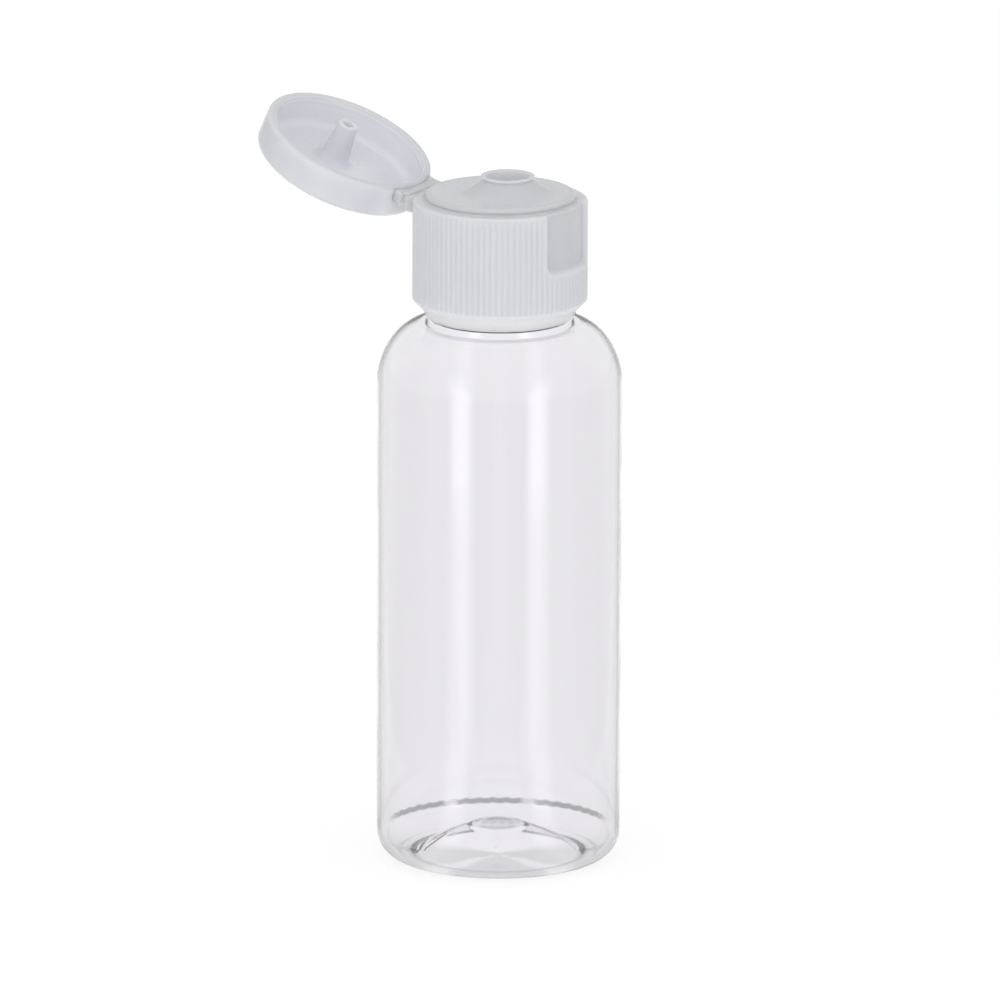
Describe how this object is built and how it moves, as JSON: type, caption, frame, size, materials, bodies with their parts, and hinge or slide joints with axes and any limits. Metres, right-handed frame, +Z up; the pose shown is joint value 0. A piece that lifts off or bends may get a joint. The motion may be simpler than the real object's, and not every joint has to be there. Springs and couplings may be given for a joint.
{
  "type": "travel bottle",
  "caption": "Small clear plastic travel bottle with a screw-on ribbed flip-top closure, a low flared spout and a hinged lid with a sealing pin, shown open.",
  "frame": {"origin": "centre of the bounding box in X and Y, on the plane the bottle stands on; the bottle's own axis stands at x = 0.01005", "axes": "+Z up along the bottle; the closure's hinge and the open lid face -X, the thumb recess faces +X"},
  "size_m": [0.0544, 0.0342, 0.1051],
  "materials": {
    "clear_pet": "clear, glossy, blow moulded",
    "natural_polypropylene": "natural translucent, satin, injection moulded",
    "seal_polyethylene": "natural, soft, satin"
  },
  "bodies": {
    "bottle_body": {"bottle": "clear_pet"},
    "seal_body": {"mouth_seal": "seal_polyethylene"},
    "closure_body": {"closure_shell": "natural_polypropylene", "closure_deck": "natural_polypropylene", "spout": "natural_polypropylene", "hinge_base_leaf": "natural_polypropylene"},
    "lid_body": {"lid_shell": "natural_polypropylene", "lid_pin": "natural_polypropylene", "hinge_lid_leaf": "natural_polypropylene"}
  },
  "joints": [
    {"name": "closure_lift", "type": "slide", "parent": "bottle_body", "child": "seal_body", "axis": [0, 0, 1], "range_m": [0, 0.01747]},
    {"name": "closure_turn", "type": "hinge", "parent": "seal_body", "child": "closure_body", "pos_m": [0.01005, 0, 0.0864], "axis": [0, 0, 1], "range_deg": [0, 1980]},
    {"name": "lid_hinge", "type": "hinge", "parent": "closure_body", "child": "lid_body", "pos_m": [-0.00273, 0, 0.09455], "axis": [0, -1, 0], "range_deg": [-155, 23]}
  ],
  "couplings": [
    {"joint": "closure_lift", "follows": "closure_turn", "m_per_rad": 0.00050532}
  ]
}
